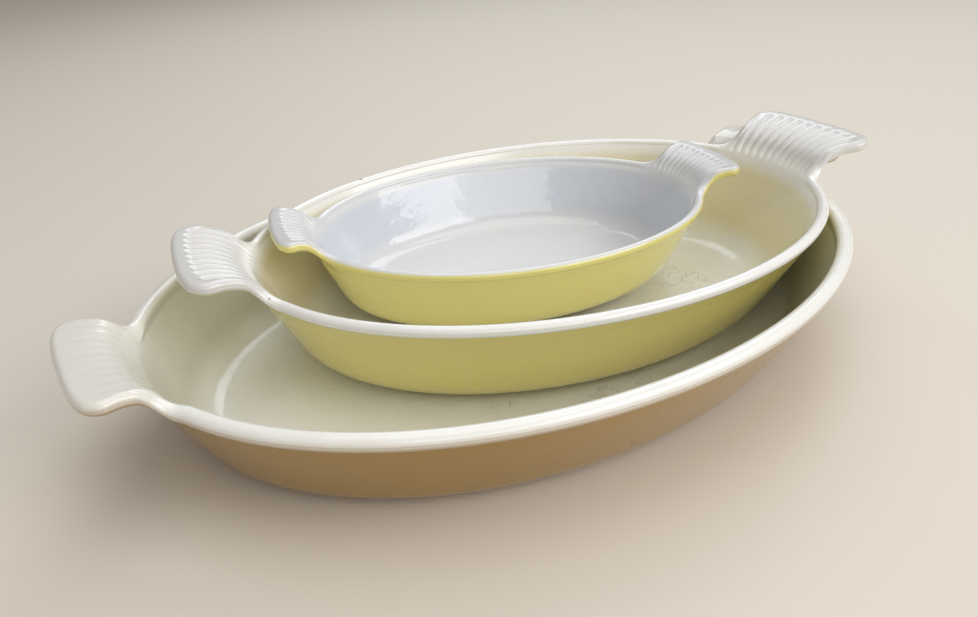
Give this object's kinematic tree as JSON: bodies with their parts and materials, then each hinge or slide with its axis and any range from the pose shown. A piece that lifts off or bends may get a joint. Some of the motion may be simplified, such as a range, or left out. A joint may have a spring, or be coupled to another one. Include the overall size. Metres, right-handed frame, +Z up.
{
  "type": "nest of enamelled gratin dishes",
  "caption": "Nest of oval enamelled cast-iron gratin dishes, pale yellow outside and white inside, each with two ribbed lug handles; the smaller dishes lift out.",
  "frame": {"origin": "centre of the large dish's foot, on the surface that it stands on", "axes": "+Z up; +X along the large dish's length, through its two handles"},
  "size_m": [0.4092, 0.262, 0.0734],
  "materials": {
    "cast_iron": "matte",
    "yellow_enamel": "gloss",
    "white_enamel": "gloss"
  },
  "bodies": {
    "large_dish": {"large_dish_casting": "cast_iron", "large_dish_outer_enamel": "yellow_enamel", "large_dish_inner_enamel": "white_enamel"},
    "medium_dish": {"medium_dish_casting": "cast_iron", "medium_dish_outer_enamel": "yellow_enamel", "medium_dish_inner_enamel": "white_enamel"},
    "small_dish": {"small_dish_casting": "cast_iron", "small_dish_outer_enamel": "yellow_enamel", "small_dish_inner_enamel": "white_enamel"}
  },
  "joints": [
    {"name": "medium_dish_lift", "type": "slide", "parent": "large_dish", "child": "medium_dish", "axis": [0, 0, 1], "range_m": [0, 0.08]},
    {"name": "small_dish_lift", "type": "slide", "parent": "medium_dish", "child": "small_dish", "axis": [0, 0, 1], "range_m": [0, 0.08]}
  ]
}
